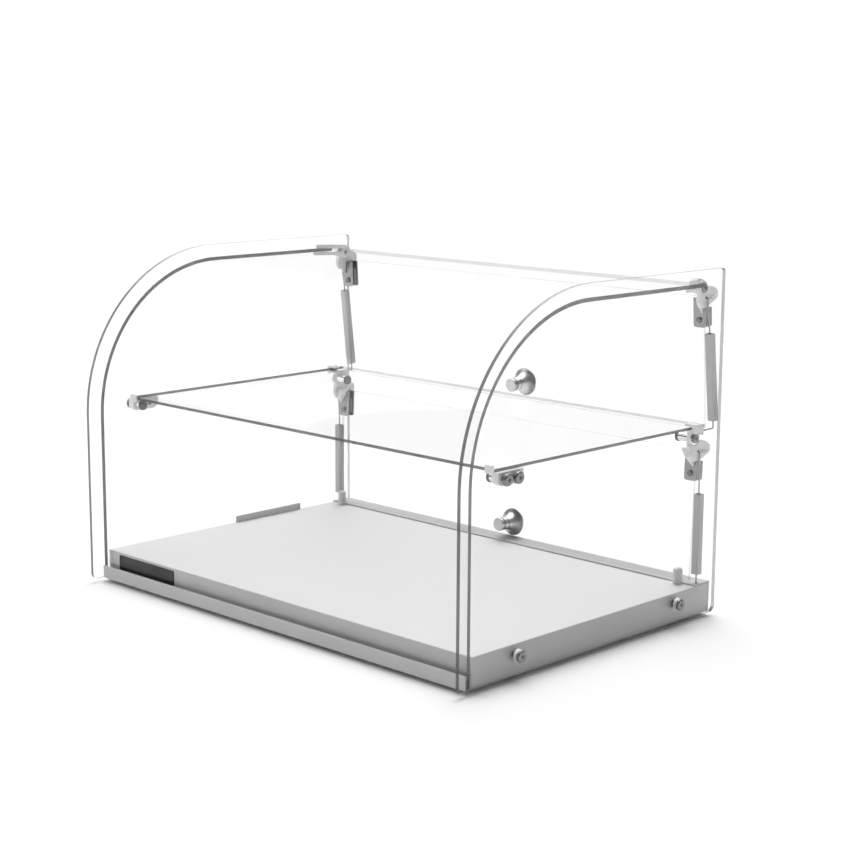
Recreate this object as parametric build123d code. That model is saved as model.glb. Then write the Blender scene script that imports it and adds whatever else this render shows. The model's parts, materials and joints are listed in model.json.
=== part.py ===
"""Counter-top display case: a curved glass cabinet with two tiers and two sprung rear doors.

Millimetres. X is the width, Y the depth with the doors at +Y, Z is up.
While the pieces are made, z = 0 is the lower edge of the side panes; at the end everything is
moved so that the origin is under the middle of the whole case.
"""

import math
import os

from build123d import *

# Side panes
PANE_SPREAD = 554.0  # over the outer faces of the two side panes
PANE_T = 4.0
PANE_FRONT = -199.5
PANE_OVERHANG = 4.0  # behind the tray
PANE_TOP = 356.5
PANE_BEND_R = 174.5
PANE_FRONT_CORNER_R = 6.0
PANE_REAR_CORNER_R = 4.5
PANE_REAR_CHAMFER = 4.5

# Curved glass between the panes
GLASS_T = 4.0
GLASS_END_GAP = 0.7  # between its ends and the side panes
GLASS_STAND_OFF = 15.0  # its front behind the front edge of the panes
GLASS_DROP = 14.1  # its top below the top of the panes
GLASS_BEND_R = 162.0
GLASS_SHORT = 28.5  # its rear edge in front of the rear edge of the panes

# Base
TRAY_GAP = 0.4  # between the tray and the side panes
TRAY_DEPTH = 360.0
TRAY_BOTTOM = 0.2
DECK_TOP = 30.4
SHEET_T = 1.5
TRAY_EDGE_R = 0.8
FOOT_R = 9.0
FOOT_H = 4.2
FOOT_INSET = 24.0
FOOT_EDGE_R = 1.2

# Channel that holds the foot of the curved glass
LIP_FRONT_T = 1.5
LIP_FRONT_H = 13.7
LIP_FLOOR = 1.2
LIP_REAR_T = 2.25
LIP_REAR_H = 9.0
LIP_GLASS_GAP = 0.5  # in front of the glass
LIP_BACK_GAP = 0.25  # behind the glass
LIP_END_GAP = 0.7  # between its ends and the side panes

# Strip across the rear of the deck
RAIL_DEPTH = 24.5
RAIL_T = 1.5
RAIL_POST_GAP = 0.4

# Door stop posts
POST_INSET = 19.6  # of its middle, in from the side of the tray
POST_DOOR_GAP = 0.03  # in front of the foot of the closed lower door
POST_R = 4.85
POST_H = 17.5
POST_DOME_R = 3.5
POST_SCREW_R = 2.0
POST_SCREW_HEAD_R = 3.8
POST_SCREW_HEAD_H = 2.4
POST_SCREW_GRIP = 7.0

# Screws through the foot of the side panes
SIDE_SCREW_FRONT_INSET = 57.0
SIDE_SCREW_REAR_INSET = 61.0
SIDE_SCREW_DROP = 10.0  # below the deck
SIDE_SCREW_PROUD = 1.5  # its tip past the nut
SIDE_SCREW_R = 3.0
SIDE_SCREW_HEAD_R = 6.0
SIDE_SCREW_HEAD_H = 2.8
SIDE_WASHER_R = 6.3
SIDE_WASHER_T = 3.5
SIDE_NUT_R = 5.5
SIDE_NUT_T = 4.5
HOLE_GAP = 0.25  # of a screw in a plain hole
CROSS_W = 1.0
CROSS_SPREAD = 4.4
CROSS_DEPTH = 1.3
HEAD_ROUNDING = 0.55  # share of the height of a pan head

# Tab along the left edge of the deck, and the blank badge on the front of the tray
TAB_SETBACK = 80.4  # its rear end in front of the rear of the tray
TAB_LENGTH = 99.6
TAB_H = 7.6
BADGE_INSET = 19.6
BADGE_LENGTH = 95.0
BADGE_H = 16.1
BADGE_DROP = 3.0  # its top below the deck
BADGE_T = 0.8
BADGE_CORNER_R = 1.5

# Shelf
SHELF_T = 3.0
SHELF_TOP = 197.6
SHELF_STAND_OFF = 38.5  # its front edge behind the front of the curved glass
SHELF_SHORT = 14.5  # its rear edge in front of the rear edge of the panes
SHELF_END_GAP = 5.0  # between its ends and the side panes

# Clips under the front corners of the shelf
CLIP_INNER = 8.0  # how far it stands in from the pane
CLIP_LENGTH = 34.0
CLIP_DROP = 12.6
CLIP_FRONT_CUT = 4.0
CLIP_FRONT_CUT_H = 3.0
CLIP_REAR_CUT = 7.0
CLIP_REAR_CUT_H = 4.0
CLIP_TAB_W = 10.5
CLIP_TAB_T = 1.5
CLIP_TAB_RISE = 3.0
CLIP_TAB_GAP = 0.3
CLIP_TAB_CORNER_R = 1.2
CLIP_LEAF_T = 2.2
CLIP_LEAF_L = 1.4
CLIP_SCREW_SPACING = 15.1
CLIP_SCREW_INSET = 6.8  # of the first screw behind the shelf's front edge
CLIP_SCREW_DROP = 6.3  # below the shelf
CLIP_SCREW_R = 2.5
CLIP_SCREW_HEAD_R = 5.8
CLIP_SCREW_HEAD_H = 2.6
CLIP_WASHER_T = 0.6
CLIP_WASHER_R = 6.1
BARREL_R = 4.75
CLIP_BARREL_L = 6.4
MID_BARREL_L = 12.4
BARREL_BORE_SHARE = 0.7
BARREL_GRIP_SHARE = 0.6
BARREL_CAP_R = 5.4
BARREL_CAP_T = 2.6
BARREL_EDGE_R = 0.7

# Door hinges: the axis of each pair, the ear on the door and the knuckle on the case
UPPER_PIVOT_LAG = 7.5  # behind the rear edge of the curved glass
UPPER_PIVOT_DROP = 5.4  # below the top of the curved glass
LOWER_PIVOT_LEAD = 14.0  # in front of the rear edge of the shelf
LOWER_PIVOT_DROP = 10.1  # below the shelf
KNUCKLE_R = 7.0
SIDE_GAP = 0.5  # between knuckle and ear
EAR_T = 2.6
EAR_PAD_T = 1.6
EAR_INSET = 10.2  # inner face of the ear, in from the pane
PIVOT_R = 2.5
PIVOT_RUN = 0.05
PIVOT_HEAD_R = 4.9
PIVOT_HEAD_T = 2.3
PIVOT_RING_R = 7.0
PIVOT_RING_T = 0.6
PIVOT_SIDE_PLAY = 0.3
PIVOT_HEAD_ROOM = 0.5  # round a head or ring, in the pad of an ear

# Door fitting, from the hinge axis of the upper door
EAR_HOLE_FRONT = 2.7
EAR_HOLE_REAR = 15.7
EAR_HOLE_DROP = 10.2
EAR_HOLE_R = 1.6
EAR_OUTLINE = [
    (-6.0, 3.0),
    (9.0, 1.0),
    (16.5, -0.8),
    (23.3, -5.0),
    (23.3, -12.8),
    (4.5, -20.4),
    (-5.0, -20.4),
    (-8.6, -14.0),
]
EAR_CORNER_R = 3.2
EAR_PAD_ROUNDING = 0.6  # share of its thickness
EAR_BAR_OVERLAP = 0.3
EAR_BAR_SINK = 0.1
CLAMP_W = 15.5
CLAMP_INSET = 6.6  # outer face, in from the pane
CLAMP_TOP = -11.5
CLAMP_H = 30.0
CLAMP_NOTCH = -21.0
CLAMP_EAR_GAP = 0.4
CLAMP_SHEET = 1.5
CLAMP_PAD_T = 3.5
CLAMP_PAD_MARGIN = 1.0
CLAMP_PAD_LIFT = 4.0
CLAMP_CORNER_R = 3.0
CLAMP_SCREW_Z = -33.9
CLAMP_SCREW_INSET = 8.5  # in from the outer face of the clamp
CLAMP_SCREW_R = 1.75
CLAMP_SCREW_HEAD_R = 3.25
CLAMP_SCREW_HEAD_H = 1.8
CLAMP_SCREW_ROUNDING = 0.9
CLAMP_CROSS_W = 0.8
CLAMP_CROSS_SPREAD = 3.9
CLAMP_CROSS_DEPTH = 0.7
CLAMP_HOLE_R = 1.1
CLAMP_HOLE_INSET = 2.9  # out from the inner edge of the clamp
CLAMP_HOLE_DROP = 2.5  # below its top
ARM_TOP = -7.9
ARM_TIP = -26.0
ARM_T = 5.0
ARM_BELLY = 2.5  # it stands out this much more below its top
ARM_BELLY_DROP = 1.5
ARM_NOSE_RISE = 9.0
ARM_TIP_T = 1.2
ARM_LAND = 1.0  # below its top, where its slanted inner side starts
UPPER_ARM_IN = 2.0
LOWER_ARM_IN = 11.5
LOWER_SHIFT_Y = 3.8  # the lower fittings sit this much behind and below their axis
LOWER_SHIFT_Z = -3.7

# Door panels
DOOR_EDGE_GAP = 2.4  # inside the side wall of a clamp
DOOR_T = 3.5
DOOR_TOP = -10.0
DOOR_CORNER_R = 2.0
UPPER_GLASS_Y = 4.4
UPPER_LEAN = 3.5
UPPER_DOOR_LAP = 4.6  # below the shelf
LOWER_GLASS_Y = 8.0
LOWER_LEAN = -2.4
LOWER_DOOR_GAP = 1.9  # above the rear strip

# Knobs
KNOB_CAP_R = 7.5
KNOB_CAP_T = 2.2
KNOB_CAP_ROUNDING = 0.8
KNOB_BOSS_R = 6.5  # of the cap, through the panel
KNOB_SCREW_R = 2.5
KNOB_SCREW_GRIP = 9.0
KNOB_NECK_R = 7.2
KNOB_NECK_L = 5.0
KNOB_GROOVE_R = 6.2
KNOB_GROOVE_L = 1.2
KNOB_FLARE_L = 12.8
KNOB_FLARE_START = (0.15, 1.0)
KNOB_FLARE_END = (1.0, 0.35)
KNOB_RIM_R = 15.5
KNOB_RIM_T = 2.0
KNOB_RIM_CUT = 0.8
KNOB_RIM_LAND = 2.5
KNOB_DISH = 1.2
KNOB_RISE = 15.0  # above the foot of a panel

# Spring rods
WIRE_R = 0.8
WIRE_BEND_R = 2.0
SPRING_INSET = 4.5  # of the rods in from the pane
SLEEVE_W = 8.2
SLEEVE_CORNER_R = 1.0
SLEEVE_BORE_R = 3.3
SLEEVE_FLOOR = 2.0
COIL_R = 2.8
COIL_BORE_R = 1.25
COIL_SHORT = 3.0  # the coil ends this far below the mouth of the sleeve
HOOK_DEPTH = 24.0  # of the hook's shank inside the sleeve
HOOK_LEAD = 2.0  # its bend above the mouth of the sleeve
HOOK_START = 0.3  # its end inside the ear
UPPER_SLEEVE_LAG = 9.2  # its mouth behind the hinge axis
UPPER_SLEEVE_DROP = 47.0  # its mouth below the hinge axis
UPPER_SLEEVE_FOOT_LAG = 27.2  # behind the axis of the lower door
UPPER_SLEEVE_FOOT_RISE = 2.4  # above the shelf
UPPER_LEG_DROP = 3.0  # below the shelf
UPPER_LEG_LAG = 2.0  # its toe behind the axis of the lower door
LOWER_SLEEVE_LAG = 7.3
LOWER_SLEEVE_DROP = 58.5
LOWER_SLEEVE_FOOT_RISE = 11.6  # above the deck
LOWER_LEG_DROP = 6.4  # below the deck
LOWER_LEG_L = 7.0
WIRE_SLOT_FRONT = 1.4
WIRE_SLOT_REAR = 3.4
WIRE_SLOT_SIDE = 1.4

# Bracket at the rear corners of the shelf
HINGE_PLATE_T = 2.3
HINGE_PLATE_FRONT = -5.2  # from the axis of the lower door
HINGE_PLATE_FOOT = -9.3
HINGE_PLATE_CHIN = 3.0
HINGE_PLATE_STEP = 10.5
HINGE_PLATE_STEP_H = -1.5
MID_JAW_FRONT = -8.5
MID_JAW_REAR = -0.5
MID_JAW_T = 2.4
MID_JAW_RISE = 2.1
MID_JAW_GAP = 0.3
MID_PAD_T = 2.1
MID_PAD_REAR = 5.5
MID_PAD_DROP = 3.8  # below the shelf
ANCHOR_T = 2.2
ANCHOR_IN = 5.6
ANCHOR_DROP = 5.9  # below the shelf
ANCHOR_FLOOR_T = 1.3
ANCHOR_WIRE_GAP = 0.5  # beside the wire
ANCHOR_SHELF_GAP = 0.3

# Bracket that grips the rear corners of the curved glass
TOP_IN = 16.0  # its inner face, in from the pane
TOP_OUT_GAP = 0.7
TOP_ROOF_T = 4.5
TOP_FLOOR_T = 3.6
TOP_JAW_GAP = 0.15
TOP_REACH = 26.0  # in front of the rear edge of the glass, at its outer end
TOP_INNER_REACH = 5.0
TOP_LOWER_LEAD = 5.3  # of the lower jaw in front of the upper
TOP_STEP_LEAD = 10.5  # the rear of its outer part, in front of the rear edge of the glass
TOP_EDGE_R = 1.2
TOP_NOSE = [(-2.0, 9.2), (4.0, 7.6), (7.5, 4.0)]  # from the axis of the upper door

# Cutters reach this far past what they cut
PAST = 1.0

# Places that follow from the sizes above
PANE_OUT = PANE_SPREAD / 2
PANE_IN = PANE_OUT - PANE_T
TRAY_X = PANE_IN - TRAY_GAP
GLASS_FRONT = PANE_FRONT + GLASS_STAND_OFF
LIP_BACK = GLASS_FRONT + GLASS_T + LIP_BACK_GAP
TRAY_FRONT = LIP_BACK + LIP_REAR_T
TRAY_REAR = TRAY_FRONT + TRAY_DEPTH
PANE_REAR = TRAY_REAR + PANE_OVERHANG
GLASS_REAR = PANE_REAR - GLASS_SHORT
SIDE_SCREW_YS = (TRAY_FRONT + SIDE_SCREW_FRONT_INSET, TRAY_REAR - SIDE_SCREW_REAR_INSET)
SIDE_SCREW_Z = DECK_TOP - SIDE_SCREW_DROP
TAB_Y0 = TRAY_REAR - TAB_SETBACK - TAB_LENGTH
BADGE_X0 = -TRAY_X + BADGE_INSET
BADGE_Z0 = DECK_TOP - BADGE_DROP - BADGE_H
GLASS_TOP = PANE_TOP - GLASS_DROP
GLASS_X = PANE_IN - GLASS_END_GAP
LIP_Y0 = GLASS_FRONT - LIP_GLASS_GAP - LIP_FRONT_T
RAIL_Y0 = TRAY_REAR - RAIL_DEPTH
SHELF_X = PANE_IN - SHELF_END_GAP
SHELF_UNDER = SHELF_TOP - SHELF_T
SHELF_FRONT = GLASS_FRONT + SHELF_STAND_OFF
SHELF_REAR = PANE_REAR - SHELF_SHORT
UPPER_PIVOT_Y = GLASS_REAR + UPPER_PIVOT_LAG
UPPER_PIVOT_Z = GLASS_TOP - UPPER_PIVOT_DROP
LOWER_PIVOT_Y = SHELF_REAR - LOWER_PIVOT_LEAD
LOWER_PIVOT_Z = SHELF_UNDER - LOWER_PIVOT_DROP
EAR_X0 = PANE_IN - EAR_INSET
EAR_X1 = EAR_X0 + EAR_T
EAR_X2 = EAR_X1 + EAR_PAD_T
KNUCKLE_X1 = EAR_X0 - SIDE_GAP
HINGE_PLATE_X = KNUCKLE_X1 - HINGE_PLATE_T
TOP_X0 = PANE_IN - TOP_IN
SPRING_X = PANE_IN - SPRING_INSET
CLIP_X = PANE_IN - CLIP_INNER
CLIP_SCREW_Y = SHELF_FRONT + CLIP_SCREW_INSET
CLIP_REAR_SCREW_Y = CLIP_SCREW_Y + CLIP_SCREW_SPACING
CLIP_SCREW_Z = SHELF_UNDER - CLIP_SCREW_DROP
CLAMP_OUT = PANE_IN - CLAMP_INSET
CLAMP_IN = CLAMP_OUT - CLAMP_W
CLAMP_SCREW_X = CLAMP_OUT - CLAMP_SCREW_INSET
DOOR_HALF_W = CLAMP_OUT - CLAMP_SHEET - DOOR_EDGE_GAP
UPPER_DOOR_H = UPPER_PIVOT_Z + DOOR_TOP - (SHELF_UNDER - UPPER_DOOR_LAP)
LOWER_DOOR_FOOT = DECK_TOP + RAIL_T + LOWER_DOOR_GAP
LOWER_DOOR_H = LOWER_PIVOT_Z + LOWER_SHIFT_Z + DOOR_TOP - LOWER_DOOR_FOOT
LOWER_LEAN_SLOPE = math.tan(math.radians(LOWER_LEAN))
LOWER_DOOR_OUT = LOWER_GLASS_Y / math.cos(math.radians(LOWER_LEAN))
LOWER_FOOT_FACE = LOWER_PIVOT_Y + LOWER_DOOR_OUT + LOWER_LEAN_SLOPE * (LOWER_PIVOT_Z - LOWER_DOOR_FOOT)
POST_X = TRAY_X - POST_INSET
POST_Y = LOWER_FOOT_FACE - POST_DOOR_GAP - POST_R
LOWER_SLEEVE_Y = LOWER_PIVOT_Y + LOWER_SLEEVE_LAG
UPPER_SLEEVE_FOOT_Z = SHELF_TOP + UPPER_SLEEVE_FOOT_RISE
UPPER_LEG_Z = SHELF_UNDER - UPPER_LEG_DROP
LOWER_LEG_Z = DECK_TOP - LOWER_LEG_DROP


def block(x0, x1, y0, y1, z0, z1):
    """A plain block between two corners."""
    low = (Align.MIN, Align.MIN, Align.MIN)
    return Pos(x0, y0, z0) * Box(x1 - x0, y1 - y0, z1 - z0, align=low)


def rod_x(r, x0, x1, y, z):
    """A round rod along the width."""
    base = (Align.CENTER, Align.CENTER, Align.MIN)
    return Pos(x0, y, z) * Rot(0, 90, 0) * Cylinder(r, x1 - x0, align=base)


def rod_y(r, y0, y1, x, z):
    """A round rod along the depth."""
    base = (Align.CENTER, Align.CENTER, Align.MIN)
    return Pos(x, y0, z) * Rot(-90, 0, 0) * Cylinder(r, y1 - y0, align=base)


def rod_z(r, z0, z1, x, y):
    """An upright round rod."""
    base = (Align.CENTER, Align.CENTER, Align.MIN)
    return Pos(x, y, z0) * Cylinder(r, z1 - z0, align=base)


def slab_x(points, x0, x1, corner_r=0.0):
    """An outline in the side view, given thickness along the width."""
    face = make_face(Polyline(*points, close=True))
    if corner_r:
        face = fillet(face.vertices(), corner_r)
    return Plane.YZ.offset(x0) * extrude(face, x1 - x0)


def slab_y(points, y0, y1):
    """An outline in the front view, given thickness along the depth."""
    face = make_face(Polyline(*points, close=True))
    return Pos(0, y1, 0) * Rot(90, 0, 0) * extrude(face, y1 - y0)


def slab_z(points, z0, z1):
    """An outline in the plan, given height."""
    return Pos(0, 0, z0) * extrude(make_face(Polyline(*points, close=True)), z1 - z0)


def wire(points):
    """A round wire along a bent line."""
    path = FilletPolyline(*points, radius=WIRE_BEND_R) if len(points) > 2 else Line(*points)
    ring = Plane(origin=path @ 0, z_dir=path % 0) * Circle(WIRE_R)
    return sweep(ring, path=path)


def pair(shape):
    """The piece on the right and its mirror image on the left."""
    return [shape, mirror(shape, about=Plane.YZ)]


def cross_x(x, y, z):
    """The cross recess of a screw head that faces out along the width."""
    half = CROSS_SPREAD / 2
    thin = CROSS_W / 2
    flat = block(x - CROSS_DEPTH, x + PAST, y - half, y + half, z - thin, z + thin)
    tall = block(x - CROSS_DEPTH, x + PAST, y - thin, y + thin, z - half, z + half)
    return flat + tall


def pan_head_x(r, x0, x1, y, z):
    """A pan head facing out along the width, with its cross recess."""
    head = rod_x(r, x0, x1, y, z)
    rim = head.edges().filter_by(GeomType.CIRCLE).sort_by(Axis.X)[-1]
    return fillet(rim, (x1 - x0) * HEAD_ROUNDING) - cross_x(x1, y, z)


def front_bend(front, top, bend_r, foot):
    """The upright front and the quarter bend of a pane or the glass, and where the bend ends."""
    bend_start = (front, top - bend_r)
    bend_end = (front + bend_r, top)
    line = Line((front, foot), bend_start) + RadiusArc(bend_start, bend_end, bend_r)
    return line, bend_end


def side_pane():
    """One side pane: a bent front edge, holes for its screws."""
    bend, bend_end = front_bend(PANE_FRONT, PANE_TOP, PANE_BEND_R, 0)
    top = Line(bend_end, (PANE_REAR, PANE_TOP))
    rear = Line((PANE_REAR, PANE_TOP), (PANE_REAR, 0))
    foot = Line((PANE_REAR, 0), (PANE_FRONT, 0))
    face = make_face(bend + top + rear + foot)
    front_foot = face.vertices().sort_by_distance((PANE_FRONT, 0, 0))[0]
    face = fillet(front_foot, PANE_FRONT_CORNER_R)
    rear_top = face.vertices().sort_by_distance((PANE_REAR, PANE_TOP, 0))[0]
    face = fillet(rear_top, PANE_REAR_CORNER_R)
    rear_foot = face.vertices().sort_by_distance((PANE_REAR, 0, 0))[0]
    face = chamfer(rear_foot, PANE_REAR_CHAMFER)
    pane = Plane.YZ.offset(PANE_IN) * extrude(face, PANE_T)
    x0 = PANE_IN - PAST
    x1 = PANE_OUT + PAST
    for y in SIDE_SCREW_YS:
        pane -= rod_x(SIDE_SCREW_R + HOLE_GAP, x0, x1, y, SIDE_SCREW_Z)
    for y in (CLIP_SCREW_Y, CLIP_REAR_SCREW_Y):
        pane -= rod_x(CLIP_SCREW_R + HOLE_GAP, x0, x1, y, CLIP_SCREW_Z)
    return pane


def curved_glass():
    """The glass that is the front and the top of the case."""
    bend, bend_end = front_bend(GLASS_FRONT, GLASS_TOP, GLASS_BEND_R, LIP_FLOOR)
    inside = GLASS_FRONT + GLASS_T
    under = GLASS_TOP - GLASS_T
    back_start = (bend_end[0], under)
    back_end = (inside, GLASS_TOP - GLASS_BEND_R)
    outline = (
        bend
        + Line(bend_end, (GLASS_REAR, GLASS_TOP))
        + Line((GLASS_REAR, GLASS_TOP), (GLASS_REAR, under))
        + Line((GLASS_REAR, under), back_start)
        + RadiusArc(back_start, back_end, GLASS_T - GLASS_BEND_R)
        + Line(back_end, (inside, LIP_FLOOR))
        + Line((inside, LIP_FLOOR), (GLASS_FRONT, LIP_FLOOR))
    )
    return Plane.YZ.offset(-GLASS_X) * extrude(make_face(outline), 2 * GLASS_X)


def wire_slot(z0, z1):
    """Room for the foot of a lower spring rod in the deck."""
    y0 = LOWER_SLEEVE_Y - WIRE_SLOT_FRONT
    y1 = LOWER_SLEEVE_Y + WIRE_SLOT_REAR
    return block(SPRING_X - WIRE_SLOT_SIDE, SPRING_X + WIRE_SLOT_SIDE, y0, y1, z0, z1)


def tray():
    """The sheet metal base, open below, with its screw and wire holes."""
    skirt_foot = TRAY_BOTTOM + SHEET_T
    under = DECK_TOP - SHEET_T
    body = block(-TRAY_X, TRAY_X, TRAY_FRONT, TRAY_REAR, skirt_foot, DECK_TOP)
    body = fillet(body.faces().sort_by(Axis.Z)[-1].edges(), TRAY_EDGE_R)
    inside_x = TRAY_X - SHEET_T
    y0 = TRAY_FRONT + SHEET_T
    y1 = TRAY_REAR - SHEET_T
    body -= block(-inside_x, inside_x, y0, y1, skirt_foot - PAST, under)
    for y in SIDE_SCREW_YS:
        body -= rod_x(SIDE_SCREW_R + HOLE_GAP, -TRAY_X - PAST, TRAY_X + PAST, y, SIDE_SCREW_Z)
    for x in (-POST_X, POST_X):
        body -= rod_z(POST_SCREW_R + HOLE_GAP, under - PAST, DECK_TOP + PAST, x, POST_Y)
    for slot in pair(wire_slot(under - PAST, DECK_TOP + PAST)):
        body -= slot
    return body


def bottom_plate():
    """The sheet that closes the base from below."""
    return block(-TRAY_X, TRAY_X, TRAY_FRONT, TRAY_REAR, TRAY_BOTTOM, TRAY_BOTTOM + SHEET_T)


def feet():
    """Four rubber feet."""
    feet_made = []
    for x in (-TRAY_X + FOOT_INSET, TRAY_X - FOOT_INSET):
        for y in (TRAY_FRONT + FOOT_INSET, TRAY_REAR - FOOT_INSET):
            foot = rod_z(FOOT_R, TRAY_BOTTOM - FOOT_H, TRAY_BOTTOM, x, y)
            feet_made.append(fillet(foot.edges().sort_by(Axis.Z)[0], FOOT_EDGE_R))
    return feet_made


def front_lip():
    """The channel along the front that the curved glass stands in."""
    outline = [
        (LIP_Y0, 0),
        (LIP_Y0, LIP_FRONT_H),
        (LIP_Y0 + LIP_FRONT_T, LIP_FRONT_H),
        (LIP_Y0 + LIP_FRONT_T, LIP_FLOOR),
        (LIP_BACK, LIP_FLOOR),
        (LIP_BACK, LIP_REAR_H),
        (TRAY_FRONT, LIP_REAR_H),
        (TRAY_FRONT, 0),
    ]
    half = PANE_IN - LIP_END_GAP
    return slab_x(outline, -half, half)


def rear_rail():
    """The raised strip across the rear of the deck, notched round the stop posts."""
    strip = block(-TRAY_X, TRAY_X, RAIL_Y0, TRAY_REAR, DECK_TOP, DECK_TOP + RAIL_T)
    for x in (-POST_X, POST_X):
        strip -= rod_z(POST_R + RAIL_POST_GAP, DECK_TOP - PAST, DECK_TOP + RAIL_T + PAST, x, POST_Y)
    for slot in pair(wire_slot(DECK_TOP - PAST, DECK_TOP + RAIL_T + PAST)):
        strip -= slot
    return strip


def stop_post():
    """A round-topped post that the lower door closes against."""
    post = rod_z(POST_R, DECK_TOP, DECK_TOP + POST_H, POST_X, POST_Y)
    post = fillet(post.edges().sort_by(Axis.Z)[-1], POST_DOME_R)
    return post - rod_z(POST_SCREW_R, DECK_TOP - PAST, DECK_TOP + POST_SCREW_GRIP, POST_X, POST_Y)


def post_screw():
    """The screw that holds a stop post from under the deck."""
    under = DECK_TOP - SHEET_T
    shank = rod_z(POST_SCREW_R, under, DECK_TOP + POST_SCREW_GRIP, POST_X, POST_Y)
    return shank + rod_z(POST_SCREW_HEAD_R, under - POST_SCREW_HEAD_H, under, POST_X, POST_Y)


def side_screw(y):
    """A screw from outside the pane into the wall of the tray."""
    x0 = PANE_OUT + SIDE_WASHER_T
    head = pan_head_x(SIDE_SCREW_HEAD_R, x0, x0 + SIDE_SCREW_HEAD_H, y, SIDE_SCREW_Z)
    tip = TRAY_X - SHEET_T - SIDE_NUT_T - SIDE_SCREW_PROUD
    return head + rod_x(SIDE_SCREW_R, tip, x0, y, SIDE_SCREW_Z)


def side_washer(y):
    """The thick plastic washer between a screw head and the pane."""
    ring = rod_x(SIDE_WASHER_R, PANE_OUT, PANE_OUT + SIDE_WASHER_T, y, SIDE_SCREW_Z)
    return ring - rod_x(SIDE_SCREW_R, PANE_OUT - PAST, PANE_OUT + SIDE_WASHER_T + PAST, y, SIDE_SCREW_Z)


def side_nut(y):
    """The nut of a side screw, inside the tray."""
    x1 = TRAY_X - SHEET_T
    hexagon = extrude(RegularPolygon(SIDE_NUT_R, 6), SIDE_NUT_T)
    nut = Pos(x1 - SIDE_NUT_T, y, SIDE_SCREW_Z) * Rot(0, 90, 0) * hexagon
    return nut - rod_x(SIDE_SCREW_R, x1 - SIDE_NUT_T - PAST, x1 + PAST, y, SIDE_SCREW_Z)


def deck_tab():
    """The low upright tab along the left edge of the deck."""
    x0 = -TRAY_X + TRAY_EDGE_R
    return block(x0, x0 + SHEET_T, TAB_Y0, TAB_Y0 + TAB_LENGTH, DECK_TOP, DECK_TOP + TAB_H)


def badge():
    """The blank plate on the front of the tray, seen through the glass."""
    plate = block(
        BADGE_X0,
        BADGE_X0 + BADGE_LENGTH,
        TRAY_FRONT - BADGE_T,
        TRAY_FRONT,
        BADGE_Z0,
        BADGE_Z0 + BADGE_H,
    )
    return fillet(plate.edges().filter_by(Axis.Y), BADGE_CORNER_R)


def shelf():
    """The glass shelf."""
    return block(-SHELF_X, SHELF_X, SHELF_FRONT, SHELF_REAR, SHELF_UNDER, SHELF_TOP)


def shelf_clip():
    """A bracket on the pane that carries a front corner of the shelf."""
    y0 = SHELF_FRONT - CLIP_TAB_GAP
    y1 = y0 + CLIP_LENGTH
    foot = SHELF_UNDER - CLIP_DROP
    outline = [
        (y0, SHELF_UNDER),
        (y1, SHELF_UNDER),
        (y1, foot + CLIP_REAR_CUT_H),
        (y1 - CLIP_REAR_CUT, foot),
        (y0 + CLIP_FRONT_CUT, foot),
        (y0, foot + CLIP_FRONT_CUT_H),
    ]
    body = slab_x(outline, CLIP_X, PANE_IN)
    x0 = SHELF_X - CLIP_TAB_W
    leaf_z = SHELF_UNDER - CLIP_LEAF_T
    tab = block(x0, SHELF_X, y0 - CLIP_TAB_T, y0, leaf_z, SHELF_TOP + CLIP_TAB_RISE)
    tab = fillet(tab.edges().filter_by(Axis.Y), CLIP_TAB_CORNER_R)
    leaf = block(x0 + CLIP_TAB_CORNER_R, SHELF_X, y0, y0 + CLIP_LEAF_L, leaf_z, SHELF_UNDER)
    clip = body + tab + leaf
    for y in (CLIP_SCREW_Y, CLIP_REAR_SCREW_Y):
        clip -= rod_x(CLIP_SCREW_R, CLIP_X - PAST, PANE_IN + PAST, y, CLIP_SCREW_Z)
    return clip


def clip_screw(y, inner_tip):
    """A shelf clip screw with its thin washer, from outside the pane."""
    x0 = PANE_OUT + CLIP_WASHER_T
    head = pan_head_x(CLIP_SCREW_HEAD_R, x0, x0 + CLIP_SCREW_HEAD_H, y, CLIP_SCREW_Z)
    washer = rod_x(CLIP_WASHER_R, PANE_OUT, x0, y, CLIP_SCREW_Z)
    return head + washer + rod_x(CLIP_SCREW_R, inner_tip, x0, y, CLIP_SCREW_Z)


def barrel(x1, length, y, z, bore_r):
    """A polished barrel nut that stands in from a bracket."""
    tube = rod_x(BARREL_R, x1 - length, x1, y, z)
    tube = fillet(tube.edges().filter_by(GeomType.CIRCLE).sort_by(Axis.X)[0], BARREL_EDGE_R)
    return tube - rod_x(bore_r, x1 - length * BARREL_BORE_SHARE, x1 + PAST, y, z)


def barrel_cap(x1, length, y, z):
    """The dark disc on the inner end of a barrel."""
    end = x1 - length
    cap = rod_x(BARREL_CAP_R, end - BARREL_CAP_T, end, y, z)
    return fillet(cap.edges().filter_by(GeomType.CIRCLE).sort_by(Axis.X)[0], BARREL_EDGE_R)


def hinge_plate():
    """The thin upright plate the lower door turns on, from the shelf down past the axis."""
    y, z = LOWER_PIVOT_Y, LOWER_PIVOT_Z
    outline = [
        (y + HINGE_PLATE_FRONT, SHELF_UNDER),
        (y + HINGE_PLATE_FRONT, z + HINGE_PLATE_FOOT),
        (y + HINGE_PLATE_CHIN, z + HINGE_PLATE_FOOT),
        (y + HINGE_PLATE_STEP, z + HINGE_PLATE_STEP_H),
        (SHELF_REAR, z + HINGE_PLATE_STEP_H),
        (SHELF_REAR, SHELF_UNDER),
    ]
    plate = slab_x(outline, HINGE_PLATE_X, KNUCKLE_X1)
    return plate - rod_x(PIVOT_R, HINGE_PLATE_X - PAST, KNUCKLE_X1 + PAST, y, z)


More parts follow.
